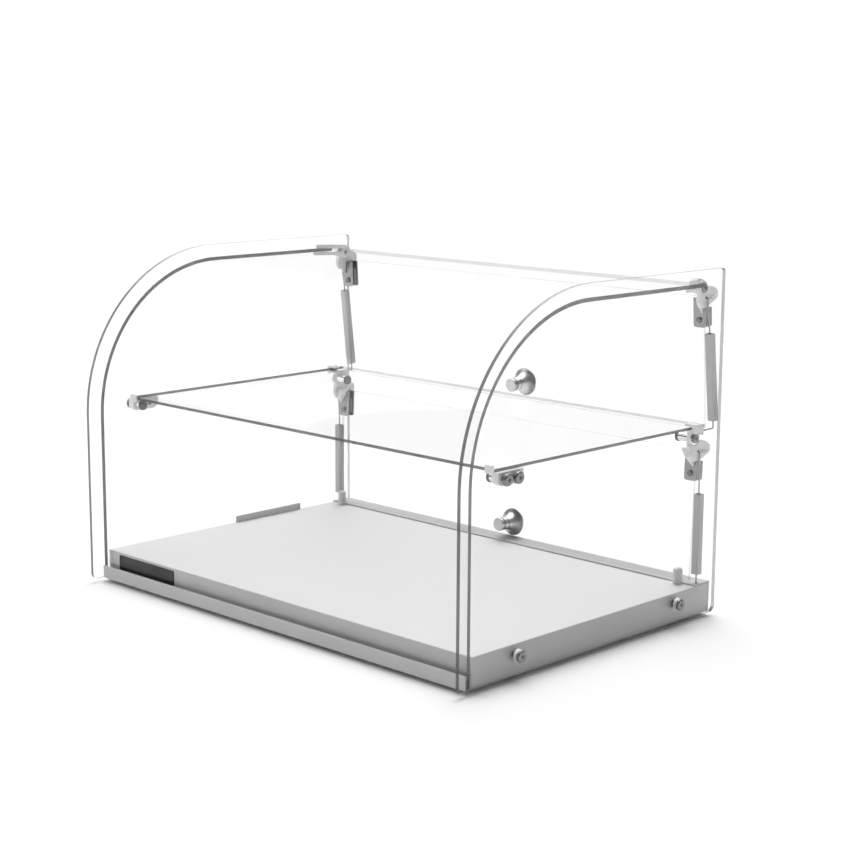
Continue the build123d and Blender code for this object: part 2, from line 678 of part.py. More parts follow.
def shelf_jaws():
    """The block that grips a rear corner of the shelf, and its pad on the pane."""
    y0 = LOWER_PIVOT_Y + MID_JAW_FRONT
    y1 = LOWER_PIVOT_Y + MID_JAW_REAR
    low = SHELF_UNDER - MID_JAW_GAP
    high = SHELF_TOP + MID_JAW_GAP
    wall = SHELF_X + MID_JAW_GAP
    jaws = block(HINGE_PLATE_X, PANE_IN, y0, y1, low - MID_JAW_T, high + MID_JAW_RISE)
    jaws -= block(HINGE_PLATE_X - PAST, wall, y0 - PAST, y1 + PAST, low, high)
    pad_y1 = LOWER_PIVOT_Y + MID_PAD_REAR
    pad_x = PANE_IN - MID_PAD_T
    return jaws + block(pad_x, PANE_IN, y0, pad_y1, SHELF_UNDER - MID_PAD_DROP, high + MID_JAW_RISE)


def wire_anchor():
    """The corner lip that the foot of an upper spring rod lies in."""
    y1 = LOWER_PIVOT_Y + MID_PAD_REAR
    y0 = y1 - ANCHOR_T
    x0 = PANE_IN - ANCHOR_IN
    foot = SHELF_UNDER - ANCHOR_DROP
    lip = block(x0, PANE_IN, y0, y1, foot, SHELF_UNDER - ANCHOR_SHELF_GAP)
    room_x = SPRING_X + WIRE_R + ANCHOR_WIRE_GAP
    return lip - block(x0 - PAST, room_x, y0 - PAST, y1 + PAST, foot + ANCHOR_FLOOR_T, SHELF_UNDER)


def mid_bracket():
    """A bracket on the pane for a rear corner of the shelf, the lower hinge and a spring rod."""
    return hinge_plate() + shelf_jaws() + wire_anchor()


def jaw_front(lead, z0, z1):
    """What a slanted front takes off one jaw of a top bracket."""
    x1 = PANE_IN - TOP_OUT_GAP
    outer = GLASS_REAR - TOP_REACH - lead
    inner = GLASS_REAR - TOP_INNER_REACH - lead
    far = GLASS_REAR - TOP_REACH - TOP_LOWER_LEAD - PAST
    slant = [(x1, outer), (TOP_X0, inner), (TOP_X0 - PAST, inner)]
    return slab_z(slant + [(TOP_X0 - PAST, far), (x1 + PAST, far), (x1 + PAST, outer)], z0, z1)


def top_bracket():
    """A cast bracket that grips the curved glass and carries the upper hinge."""
    y, z = UPPER_PIVOT_Y, UPPER_PIVOT_Z
    x1 = PANE_IN - TOP_OUT_GAP
    front = GLASS_REAR - TOP_REACH - TOP_LOWER_LEAD
    step = GLASS_REAR - TOP_STEP_LEAD
    ceiling = GLASS_TOP + TOP_ROOF_T
    under = GLASS_TOP - GLASS_T
    floor = under - TOP_FLOOR_T
    jaws = block(TOP_X0, x1, front, step, floor, ceiling)
    outer_edges = jaws.edges().filter_by(Axis.Y).sort_by(Axis.X)[-2:]
    jaws = fillet(outer_edges, TOP_EDGE_R)
    nose = [(y + along, z + up) for along, up in TOP_NOSE]
    end = [(y + KNUCKLE_R, z), (y, z - KNUCKLE_R)]
    arm = slab_x([(step, ceiling)] + nose + end + [(step, floor)], TOP_X0, KNUCKLE_X1)
    bracket = jaws + arm + rod_x(KNUCKLE_R, TOP_X0, KNUCKLE_X1, y, z)
    middle = under + GLASS_T / 2
    bracket -= jaw_front(0, middle, ceiling + PAST)
    bracket -= jaw_front(TOP_LOWER_LEAD, floor - PAST, middle)
    slot_y1 = GLASS_REAR + TOP_JAW_GAP
    z0 = under - TOP_JAW_GAP
    bracket -= block(TOP_X0 - PAST, x1 + PAST, front - PAST, slot_y1, z0, GLASS_TOP + TOP_JAW_GAP)
    return bracket - rod_x(PIVOT_R, TOP_X0 - PAST, KNUCKLE_X1 + PAST, y, z)


def pivot_screw(y, z, inner_tip, ring_t):
    """The shouldered screw a door turns on; the lower ones have a bright ring under the head."""
    x0 = EAR_X1 + PIVOT_SIDE_PLAY + ring_t
    head = pan_head_x(PIVOT_HEAD_R, x0, x0 + PIVOT_HEAD_T, y, z)
    return head + rod_x(PIVOT_R, inner_tip, x0, y, z)


def pivot_ring():
    """The bright ring under the head of a lower pivot screw."""
    x0 = EAR_X1 + PIVOT_SIDE_PLAY
    ring = rod_x(PIVOT_RING_R, x0, x0 + PIVOT_RING_T, LOWER_PIVOT_Y, LOWER_PIVOT_Z)
    return ring - rod_x(PIVOT_R, x0 - PAST, x0 + PIVOT_RING_T + PAST, LOWER_PIVOT_Y, LOWER_PIVOT_Z)


class Door:
    """The places that differ between the two doors. Door pieces are made from the hinge axis."""

    def __init__(self, pivot_y, pivot_z, lean, glass_y, height):
        self.pivot_y = pivot_y
        self.pivot_z = pivot_z
        self.lean = lean
        self.glass_y = glass_y
        self.height = height
        self.shift_y = 0.0
        self.shift_z = 0.0
        self.arm_in = UPPER_ARM_IN
        self.head_room = PIVOT_HEAD_R + PIVOT_HEAD_ROOM

    def top(self):
        """The top edge of the panel."""
        return DOOR_TOP + self.shift_z

    def knob_z(self):
        """The height of the knob."""
        return self.top() - self.height + KNOB_RISE

    def hang(self, shape):
        """Puts a door piece at its hinge, leaning as the closed door leans."""
        return Pos(0, self.pivot_y, self.pivot_z) * Rot(self.lean, 0, 0) * shape

    def hook_place(self):
        """Where the hook of the spring rod turns in the ear."""
        local = Vector(0, EAR_HOLE_FRONT + self.shift_y, self.shift_z - EAR_HOLE_DROP)
        turned = local.rotate(Axis.X, self.lean)
        return self.pivot_y + turned.Y, self.pivot_z + turned.Z


UPPER = Door(UPPER_PIVOT_Y, UPPER_PIVOT_Z, UPPER_LEAN, UPPER_GLASS_Y, UPPER_DOOR_H)
LOWER = Door(LOWER_PIVOT_Y, LOWER_PIVOT_Z, LOWER_LEAN, LOWER_GLASS_Y, LOWER_DOOR_H)
LOWER.shift_y = LOWER_SHIFT_Y
LOWER.shift_z = LOWER_SHIFT_Z
LOWER.arm_in = LOWER_ARM_IN
LOWER.head_room = PIVOT_RING_R + PIVOT_HEAD_ROOM


def door_panel(door):
    """The clear panel of a door."""
    y0 = door.glass_y
    y1 = y0 + DOOR_T
    panel = block(-DOOR_HALF_W, DOOR_HALF_W, y0, y1, door.top() - door.height, door.top())
    panel = fillet(panel.edges().filter_by(Axis.Y), DOOR_CORNER_R)
    panel -= rod_y(KNOB_BOSS_R + HOLE_GAP, y0 - PAST, y1 + PAST, 0, door.knob_z())
    z = CLAMP_SCREW_Z + door.shift_z
    for x in (-CLAMP_SCREW_X, CLAMP_SCREW_X):
        panel -= rod_y(CLAMP_SCREW_R + HOLE_GAP, y0 - PAST, y1 + PAST, x, z)
    return door.hang(panel)


def clamp(door):
    """A folded clamp round the side edge of a door panel."""
    y0 = door.glass_y - CLAMP_SHEET
    y1 = door.glass_y + DOOR_T + CLAMP_PAD_T + CLAMP_SHEET
    top = CLAMP_TOP + door.shift_z
    foot = top - CLAMP_H
    shell = block(CLAMP_IN, CLAMP_OUT, y0, y1, foot, top)
    shell = fillet(shell.edges().filter_by(Axis.Y).sort_by(Axis.Z)[:2], CLAMP_CORNER_R)
    wall_x = CLAMP_OUT - CLAMP_SHEET
    inside_y = y1 - CLAMP_SHEET
    shell -= block(CLAMP_IN - PAST, wall_x, door.glass_y, inside_y, foot - PAST, top + PAST)
    notch = CLAMP_NOTCH + door.shift_z
    x0 = EAR_X0 - CLAMP_EAR_GAP
    shell -= block(x0, CLAMP_OUT + PAST, y0 - PAST, y1 + PAST, notch, top + PAST)
    z = CLAMP_SCREW_Z + door.shift_z
    shell -= rod_y(CLAMP_SCREW_R, y0 - PAST, y1 + PAST, CLAMP_SCREW_X, z)
    hole_x = CLAMP_IN + CLAMP_HOLE_INSET
    shell -= rod_y(CLAMP_HOLE_R, y0 - PAST, door.glass_y, hole_x, top - CLAMP_HOLE_DROP)
    return door.hang(shell)


def clamp_pad(door):
    """The packing between a door panel and the rear leaf of its clamp."""
    y0 = door.glass_y + DOOR_T
    y1 = y0 + CLAMP_PAD_T
    foot = CLAMP_TOP + door.shift_z - CLAMP_H + CLAMP_PAD_LIFT
    x1 = CLAMP_OUT - CLAMP_SHEET
    pad = block(CLAMP_IN + CLAMP_PAD_MARGIN, x1, y0, y1, foot, CLAMP_NOTCH + door.shift_z)
    z = CLAMP_SCREW_Z + door.shift_z
    return door.hang(pad - rod_y(CLAMP_SCREW_R, y0 - PAST, y1 + PAST, CLAMP_SCREW_X, z))


def clamp_screw(door):
    """The screw through a clamp, its panel and its packing."""
    y0 = door.glass_y - CLAMP_SHEET
    y1 = door.glass_y + DOOR_T + CLAMP_PAD_T + CLAMP_SHEET
    x, z = CLAMP_SCREW_X, CLAMP_SCREW_Z + door.shift_z
    face_y = y0 - CLAMP_SCREW_HEAD_H
    head = rod_y(CLAMP_SCREW_HEAD_R, face_y, y0, x, z)
    rim = head.edges().filter_by(GeomType.CIRCLE).sort_by(Axis.Y)[0]
    head = fillet(rim, CLAMP_SCREW_ROUNDING)
    half = CLAMP_CROSS_SPREAD / 2
    thin = CLAMP_CROSS_W / 2
    cross_y = face_y + CLAMP_CROSS_DEPTH
    head -= block(x - half, x + half, face_y - PAST, cross_y, z - thin, z + thin)
    head -= block(x - thin, x + thin, face_y - PAST, cross_y, z - half, z + half)
    return door.hang(head + rod_y(CLAMP_SCREW_R, y0, y1, x, z))


def shifted(points, door):
    """Fitting outline points, moved to where this door's fitting sits."""
    return [(y + door.shift_y, z + door.shift_z) for y, z in points]


def door_ear(door):
    """The ear that turns on the pivot screw, and its pad with the two wire holes."""
    outline = shifted(EAR_OUTLINE, door)
    ear = slab_x(outline, EAR_X0, EAR_X1, EAR_CORNER_R) + rod_x(KNUCKLE_R, EAR_X0, EAR_X1, 0, 0)
    pad = slab_x(outline, EAR_X1, EAR_X2, EAR_CORNER_R)
    rim_face = pad.faces().sort_by(Axis.X)[-1]
    pad = fillet(rim_face.outer_wire().edges(), EAR_PAD_T * EAR_PAD_ROUNDING)
    pad -= rod_x(door.head_room, EAR_X1 - PAST, EAR_X2 + PAST, 0, 0)
    hole_z = door.shift_z - EAR_HOLE_DROP
    front = EAR_HOLE_FRONT + door.shift_y
    rear = EAR_HOLE_REAR + door.shift_y
    pad -= block(EAR_X1, EAR_X2 + PAST, front, rear, hole_z - EAR_HOLE_R, hole_z + EAR_HOLE_R)
    body = ear + pad
    for y in (front, rear):
        body -= rod_x(EAR_HOLE_R, EAR_X0 - PAST, EAR_X2 + PAST, y, hole_z)
    reach = EAR_HOLE_R - EAR_BAR_OVERLAP
    bar_x = EAR_X1 + WIRE_R - EAR_BAR_SINK
    return body + rod_y(WIRE_R, front + reach, rear - reach, bar_x, hole_z)


def door_arm(door):
    """The arm from an ear down in front of its clamp, slanted on its inner side."""
    back = door.glass_y - CLAMP_SHEET
    top = ARM_TOP + door.shift_z
    tip = ARM_TIP + door.shift_z
    front = back - ARM_T
    belly = front - ARM_BELLY
    outline = [
        (back, top),
        (back, tip),
        (back - ARM_TIP_T, tip),
        (belly, tip + ARM_NOSE_RISE),
        (belly, top - ARM_BELLY_DROP),
        (front, top),
    ]
    x0 = EAR_X0 - door.arm_in
    tip_x = EAR_X0 - ARM_TIP_T
    slant = [(x0 - PAST, top - ARM_LAND), (x0, top - ARM_LAND), (tip_x, tip), (tip_x, tip - PAST)]
    away = slab_y(slant + [(x0 - PAST, tip - PAST)], belly - PAST, back + PAST)
    return slab_x(outline, x0, EAR_X0) - away


def ear_arm(door):
    """The cast fitting of one side of a door, with its bore for the pivot screw."""
    body = door_ear(door) + door_arm(door)
    body -= rod_x(PIVOT_R + PIVOT_RUN, EAR_X0 - PAST, EAR_X1 + PAST, 0, 0)
    return door.hang(body)


def knob(door):
    """The turned knob behind a door panel."""
    y0 = door.glass_y + DOOR_T
    y1 = y0 + KNOB_NECK_L
    y2 = y1 + KNOB_GROOVE_L
    y3 = y2 + KNOB_FLARE_L
    y4 = y3 + KNOB_RIM_T
    dish_y = y4 - KNOB_DISH
    cut_r = KNOB_RIM_R - KNOB_RIM_CUT
    flare = Spline((KNOB_NECK_R, y2), (KNOB_RIM_R, y3), tangents=[KNOB_FLARE_START, KNOB_FLARE_END])
    outline = (
        Polyline(
            (KNOB_SCREW_R, dish_y),
            (KNOB_SCREW_R, y0),
            (KNOB_NECK_R, y0),
            (KNOB_NECK_R, y1),
            (KNOB_GROOVE_R, y1),
            (KNOB_GROOVE_R, y2),
            (KNOB_NECK_R, y2),
        )
        + flare
        + Polyline((KNOB_RIM_R, y3), (KNOB_RIM_R, y4 - KNOB_RIM_CUT), (cut_r, y4))
        + Polyline((cut_r, y4), (KNOB_RIM_R - KNOB_RIM_LAND, y4), (KNOB_SCREW_R, dish_y))
    )
    turned = revolve(make_face(outline), Axis.Y)
    turned += rod_y(KNOB_SCREW_R, y0 + KNOB_SCREW_GRIP, dish_y, 0, 0)
    return door.hang(Pos(0, 0, door.knob_z()) * turned)


def knob_cap(door):
    """The round cap in front of the panel, its boss and the screw that draws the knob up."""
    y0 = door.glass_y - KNOB_CAP_T
    y1 = door.glass_y + DOOR_T
    cap = rod_y(KNOB_CAP_R, y0, door.glass_y, 0, 0)
    rim = cap.edges().filter_by(GeomType.CIRCLE).sort_by(Axis.Y)[0]
    cap = fillet(rim, KNOB_CAP_ROUNDING) + rod_y(KNOB_BOSS_R, door.glass_y, y1, 0, 0)
    cap += rod_y(KNOB_SCREW_R, y1, y1 + KNOB_SCREW_GRIP, 0, 0)
    return door.hang(Pos(0, 0, door.knob_z()) * cap)


class Rod:
    """The line of one spring rod, from the mouth of its sleeve to the sleeve's foot."""

    def __init__(self, top_y, top_z, foot_y, foot_z):
        self.top = Vector(0, top_y, top_z)
        self.foot = Vector(0, foot_y, foot_z)
        self.down = (self.foot - self.top).normalized()
        self.length = (self.foot - self.top).length

    def at(self, along):
        """The point this far below the mouth of the sleeve, on the rod's line."""
        place = self.top + self.down * along
        return (SPRING_X, place.Y, place.Z)

    def plane(self, along):
        """The plane across the rod there, its x along the width."""
        back = (0, -self.down.Y, -self.down.Z)
        return Plane(origin=self.at(along), x_dir=(1, 0, 0), z_dir=back)


UPPER_ROD = Rod(
    UPPER_PIVOT_Y + UPPER_SLEEVE_LAG,
    UPPER_PIVOT_Z - UPPER_SLEEVE_DROP,
    LOWER_PIVOT_Y + UPPER_SLEEVE_FOOT_LAG,
    UPPER_SLEEVE_FOOT_Z,
)
LOWER_ROD = Rod(
    LOWER_SLEEVE_Y,
    LOWER_PIVOT_Z - LOWER_SLEEVE_DROP,
    LOWER_SLEEVE_Y,
    DECK_TOP + LOWER_SLEEVE_FOOT_RISE,
)


def sleeve(rod):
    """The square sleeve that hides a spring."""
    foot = rod.plane(rod.length)
    body = extrude(foot * RectangleRounded(SLEEVE_W, SLEEVE_W, SLEEVE_CORNER_R), rod.length)
    floor = rod.plane(rod.length - SLEEVE_FLOOR)
    body -= extrude(floor * Circle(SLEEVE_BORE_R), rod.length)
    below = rod.plane(rod.length + PAST)
    return body - extrude(below * Circle(WIRE_R), SLEEVE_FLOOR + 2 * PAST)


def coil(rod):
    """The spring in its sleeve, drawn as the plain tube it fills."""
    floor = rod.plane(rod.length - SLEEVE_FLOOR)
    height = rod.length - SLEEVE_FLOOR - COIL_SHORT
    return extrude(floor * Circle(COIL_R), height) - extrude(floor * Circle(COIL_BORE_R), height)


def hook(door, rod):
    """The wire from the ear of a door down into the sleeve."""
    y, z = door.hook_place()
    end = (EAR_X0 + HOOK_START, y, z)
    return wire([end, (SPRING_X, y, z), rod.at(-HOOK_LEAD), rod.at(HOOK_DEPTH)])


def upper_leg(rod):
    """The wire from an upper sleeve down and forward into the mid bracket."""
    bend = rod.at(rod.length + (UPPER_SLEEVE_FOOT_Z - UPPER_LEG_Z) / -rod.down.Z)
    toe = (SPRING_X, LOWER_PIVOT_Y + UPPER_LEG_LAG, UPPER_LEG_Z)
    return wire([rod.at(rod.length - SLEEVE_FLOOR), bend, toe])


def lower_leg(rod):
    """The wire from a lower sleeve down through the deck."""
    toe = (SPRING_X, LOWER_SLEEVE_Y - LOWER_LEG_L, LOWER_LEG_Z)
    return wire([rod.at(rod.length - SLEEVE_FLOOR), (SPRING_X, LOWER_SLEEVE_Y, LOWER_LEG_Z), toe])


def all_nodes():
    """Every piece of the case, by the name of its file."""
    pane = side_pane()
    clip = shelf_clip()
    middle = mid_bracket()
    top = top_bracket()
    clip_z = CLIP_SCREW_Z
    clip_tip = CLIP_X - CLIP_BARREL_L * BARREL_GRIP_SHARE
    mid_tip = HINGE_PLATE_X - MID_BARREL_L * BARREL_GRIP_SHARE
    lower_y, lower_z = LOWER_PIVOT_Y, LOWER_PIVOT_Z
    front_clip_screws = pair(clip_screw(CLIP_SCREW_Y, clip_tip))
    rear_clip_screws = pair(clip_screw(CLIP_REAR_SCREW_Y, CLIP_X))
    nodes = {
        "base_tray": [tray()],
        "bottom_plate": [bottom_plate()],
        "feet": feet(),
        "front_lip": [front_lip()],
        "rear_rail": [rear_rail()],
        "curved_glass": [curved_glass()],
        "side_glass_right": [pane],
        "side_glass_left": [mirror(pane, about=Plane.YZ)],
        "shelf_glass": [shelf()],
        "stop_posts": pair(stop_post()),
        "post_screws": pair(post_screw()),
        "side_screws": [s for y in SIDE_SCREW_YS for s in pair(side_screw(y))],
        "side_washers": [s for y in SIDE_SCREW_YS for s in pair(side_washer(y))],
        "side_nuts": [s for y in SIDE_SCREW_YS for s in pair(side_nut(y))],
        "deck_tab": [deck_tab()],
        "badge": [badge()],
        "shelf_clip_right": [clip],
        "shelf_clip_left": [mirror(clip, about=Plane.YZ)],
        "clip_screws": front_clip_screws + rear_clip_screws,
        "clip_barrels": pair(barrel(CLIP_X, CLIP_BARREL_L, CLIP_SCREW_Y, clip_z, CLIP_SCREW_R)),
        "clip_barrel_caps": pair(barrel_cap(CLIP_X, CLIP_BARREL_L, CLIP_SCREW_Y, clip_z)),
        "mid_bracket_right": [middle],
        "mid_bracket_left": [mirror(middle, about=Plane.YZ)],
        "mid_barrels": pair(barrel(HINGE_PLATE_X, MID_BARREL_L, lower_y, lower_z, PIVOT_R)),
        "mid_barrel_caps": pair(barrel_cap(HINGE_PLATE_X, MID_BARREL_L, lower_y, lower_z)),
        "lower_pivot_screws": pair(pivot_screw(lower_y, lower_z, mid_tip, PIVOT_RING_T)),
        "lower_pivot_rings": pair(pivot_ring()),
        "top_bracket_right": [top],
        "top_bracket_left": [mirror(top, about=Plane.YZ)],
        "upper_pivot_screws": pair(pivot_screw(UPPER_PIVOT_Y, UPPER_PIVOT_Z, TOP_X0, 0)),
    }
    for name, door, rod, leg in (
        ("upper", UPPER, UPPER_ROD, upper_leg),
        ("lower", LOWER, LOWER_ROD, lower_leg),
    ):
        arm = ear_arm(door)
        nodes[name + "_door_panel"] = [door_panel(door)]
        nodes[name + "_clamps"] = pair(clamp(door))
        nodes[name + "_clamp_pads"] = pair(clamp_pad(door))
        nodes[name + "_clamp_screws"] = pair(clamp_screw(door))
        nodes[name + "_ear_right"] = [arm]
        nodes[name + "_ear_left"] = [mirror(arm, about=Plane.YZ)]
        nodes[name + "_knob"] = [knob(door)]
        nodes[name + "_knob_cap"] = [knob_cap(door)]
        nodes[name + "_hooks"] = pair(hook(door, rod))
        nodes[name + "_sleeves"] = pair(sleeve(rod))
        nodes[name + "_coils"] = pair(coil(rod))
        nodes[name + "_legs"] = pair(leg(rod))
    return nodes


def main():
    """Moves the case so that the origin is at the middle of its foot, and writes its pieces."""
    nodes = all_nodes()
    every_solid = [solid for made in nodes.values() for shape in made for solid in shape.solids()]
    whole = Compound(children=every_solid)
    box = whole.bounding_box()
    home = Pos(0, -(box.min.Y + box.max.Y) / 2, -box.min.Z)
    os.makedirs("parts", exist_ok=True)
    for name, made in nodes.items():
        solids = [home * solid for shape in made for solid in shape.solids()]
        export_step(Compound(children=solids), "parts/" + name + ".step")
    shift = home.position
    print("moved by", round(shift.Y, 3), round(shift.Z, 3))
    for name, door, rod in (("upper", UPPER, UPPER_ROD), ("lower", LOWER, LOWER_ROD)):
        hook_y, hook_z = door.hook_place()
        print(name, "pivot", round(door.pivot_y + shift.Y, 4), round(door.pivot_z + shift.Z, 4))
        print(name, "hook", round(hook_y + shift.Y, 4), round(hook_z + shift.Z, 4))
        print(name, "rod down", round(rod.down.Y, 6), round(rod.down.Z, 6))


main()
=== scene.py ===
import json
import math

import bpy
from mathutils import Matrix, Vector

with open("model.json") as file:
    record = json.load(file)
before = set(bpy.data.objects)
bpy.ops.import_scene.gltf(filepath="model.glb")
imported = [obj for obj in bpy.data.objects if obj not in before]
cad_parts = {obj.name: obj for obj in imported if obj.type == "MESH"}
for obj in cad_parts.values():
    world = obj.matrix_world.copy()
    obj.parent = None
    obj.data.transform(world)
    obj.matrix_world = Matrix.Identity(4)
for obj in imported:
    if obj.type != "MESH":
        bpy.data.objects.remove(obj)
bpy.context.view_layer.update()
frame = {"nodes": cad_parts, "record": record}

# How the case stands in its own frame, and where its clear sheets end at the rear, in metres
Y_MOVE = -0.001651
Z_MOVE = 0.004
GLASS_REAR_Y = 0.1575 + Y_MOVE
PANE_REAR_Y = 0.186 + Y_MOVE
SHELF_REAR_Y = 0.1715 + Y_MOVE
REAR_BAND = (0.0006, 0.0003)
NOWHERE = 1.0

# Bands over which a pattern or a turn of the surface takes effect
MIDDLE = (0.3, 0.7)
CORNER = (0.5, 0.6)
FRONT_TURN = (-0.75, 0.15)

# The photograph's camera
CAMERA_AZIMUTH = 44.21
CAMERA_ELEVATION = 10.67
CAMERA_ROLL = 0.34
CAMERA_PLACE = (1.35029, -1.34357 + Y_MOVE, 0.53818 + Z_MOVE)
FOCAL_MM = 77.38
SENSOR_MM = 36.0
FAR_CLIP = 60.0

# Light
SKY_LOW = 0.16
SKY_HIGH = 5.6
SKY_POWER = 8.0
SKY_TOWARD = (-0.33, 0.33, 0.884)
FLOOR_TONE = 0.9
FLOOR_SIZE = 30.0
BACKDROP = 1.15
LAMP_PLACE = (-1.6, -1.2, 1.0)
LAMP_AIM = (0, 0, 0.15)
LAMP_SIZE = (0.8, 1.4)
LAMP_POWER = 7.0
WHITE = (1.0, 1.0, 1.0, 1.0)


class Paint:
    """A material's node tree, with short names for the nodes it is made of."""

    def __init__(self, name):
        self.material = bpy.data.materials.new(name)
        self.material.use_nodes = True
        self.tree = self.material.node_tree
        self.tree.nodes.clear()
        self.out = self.tree.nodes.new("ShaderNodeOutputMaterial")

    def node(self, kind, inputs=None, **settings):
        made = self.tree.nodes.new("ShaderNode" + kind)
        for key, value in settings.items():
            setattr(made, key, value)
        for key, value in (inputs or {}).items():
            self.put(made.inputs[key], value)
        return made

    def put(self, socket, value):
        if isinstance(value, bpy.types.NodeSocket):
            self.tree.links.new(value, socket)
        elif isinstance(value, (tuple, list)) and len(value) == 3 and socket.type == "RGBA":
            socket.default_value = (*value, 1.0)
        else:
            socket.default_value = value

    def surface(self, shader):
        self.tree.links.new(shader, self.out.inputs["Surface"])

    def place(self):
        """Where a point is on the piece at rest."""
        return self.node("TexCoord").outputs["Object"]

    def facing(self):
        """Which way the surface faces on the piece at rest, as three numbers."""
        return self.split(self.node("TexCoord").outputs["Normal"])

    def split(self, vector):
        return self.node("SeparateXYZ", {0: vector}).outputs

    def maths(self, operation, *values):
        made = self.node("Math", operation=operation)
        for i, value in enumerate(values):
            self.put(made.inputs[i], value)
        return made.outputs[0]

    def span(self, value, low, high, to_low=0.0, to_high=1.0):
        """Turns low..high into to_low..to_high, smoothly and no further."""
        sent = {"Value": value, "From Min": low, "From Max": high, "To Min": to_low, "To Max": to_high}
        return self.node("MapRange", sent, interpolation_type="SMOOTHSTEP").outputs[0]

    def blend(self, share, low, high):
        made = self.node("Mix", data_type="RGBA")
        self.put(made.inputs["Factor"], share)
        self.put(made.inputs[6], low)
        self.put(made.inputs[7], high)
        return made.outputs[2]

    def mix(self, share, first, second):
        made = self.node("MixShader")
        self.put(made.inputs[0], share)
        self.put(made.inputs[1], first)
        self.put(made.inputs[2], second)
        return made.outputs[0]

    def noise(self, scale, stretch=(1, 1, 1), detail=2.0):
        spread = self.node("Mapping", {"Vector": self.place(), "Scale": stretch}).outputs[0]
        return self.node("TexNoise", {"Vector": spread, "Scale": scale, "Detail": detail}).outputs[0]

    def bump(self, height, strength, depth=0.0002):
        sent = {"Height": height, "Strength": strength, "Distance": depth}
        return self.node("Bump", sent).outputs[0]


def grey(tone, warm=0.0):
    """A neutral colour, or one a little warmer or cooler."""
    return (tone * (1 + warm), tone, tone * (1 - warm))


def powder_coat(name, tone, rough=0.42):
    """Fine-grained satin powder coat."""
    paint = Paint(name)
    grain = paint.noise(2600.0)
    colour = paint.blend(paint.span(grain, *MIDDLE), grey(tone * 0.985), grey(tone * 1.015))
    shader = paint.node(
        "BsdfPrincipled",
        {
            "Base Color": colour,
            "Roughness": rough,
            "Specular IOR Level": 0.25,
            "Normal": paint.bump(grain, 0.05),
        },
    )
    paint.surface(shader.outputs[0])
    return paint.material


def brushed(name, tone, rough=0.34, along=(1, 40, 40), metal=1.0):
    """Metal with fine lines in one direction."""
    paint = Paint(name)
    lines = paint.noise(160.0, along, 3.0)
    colour = paint.blend(paint.span(lines, *MIDDLE), grey(tone * 0.92), grey(tone * 1.06))
    shader = paint.node(
        "BsdfPrincipled",
        {
            "Base Color": colour,
            "Metallic": metal,
            "Roughness": paint.span(lines, 0.25, 0.75, rough * 0.85, rough * 1.15),
            "Normal": paint.bump(lines, 0.06),
        },
    )
    paint.surface(shader.outputs[0])
    return paint.material


def polished(name, tone, rough=0.09):
    """Polished or plated metal, with the faintest cloudiness."""
    paint = Paint(name)
    cloud = paint.noise(120.0)
    shader = paint.node(
        "BsdfPrincipled",
        {
            "Base Color": grey(tone),
            "Metallic": 1.0,
            "Roughness": paint.span(cloud, *MIDDLE, rough * 0.8, rough * 1.3),
        },
    )
    paint.surface(shader.outputs[0])
    return paint.material


def plastic(name, tone, rough=0.3, glow=0.0, see_through=0.0):
    """Smooth plastic; some lets light into itself or through itself."""
    paint = Paint(name)
    cloud = paint.noise(300.0)
    colour = paint.blend(paint.span(cloud, *MIDDLE), grey(tone * 0.98), grey(tone * 1.02))
    sent = {"Base Color": colour, "Roughness": rough, "Normal": paint.bump(cloud, 0.03)}
    if glow:
        sent["Subsurface Weight"] = glow
        sent["Subsurface Radius"] = (0.004, 0.004, 0.004)
    shader = paint.node("BsdfPrincipled", sent).outputs[0]
    if see_through:
        clear = paint.node("BsdfTransparent", {"Color": grey(0.97)}).outputs[0]
        shader = paint.mix(see_through, shader, clear)
    paint.surface(shader)
    return paint.material


def rubber(name, tone):
    """Dull rubber."""
    paint = Paint(name)
    grain = paint.noise(1500.0)
    shader = paint.node(
        "BsdfPrincipled",
        {"Base Color": grey(tone), "Roughness": 0.8, "Normal": paint.bump(grain, 0.15)},
    )
    paint.surface(shader.outputs[0])
    return paint.material


def cast(name, tone):
    """Light grey cast fittings."""
    paint = Paint(name)
    grain = paint.noise(900.0)
    colour = paint.blend(paint.span(grain, *MIDDLE), grey(tone * 0.97), grey(tone * 1.03))
    shader = paint.node(
        "BsdfPrincipled",
        {
            "Base Color": colour,
            "Roughness": 0.38,
            "Specular IOR Level": 0.45,
            "Normal": paint.bump(grain, 0.08),
        },
    )
    paint.surface(shader.outputs[0])
    return paint.material


def at_rear(paint, rear_y):
    """How far a point is on the rear edge of a piece that ends there."""
    depth = paint.split(paint.place())["Y"]
    return paint.span(depth, rear_y - REAR_BAND[0], rear_y - REAR_BAND[1])


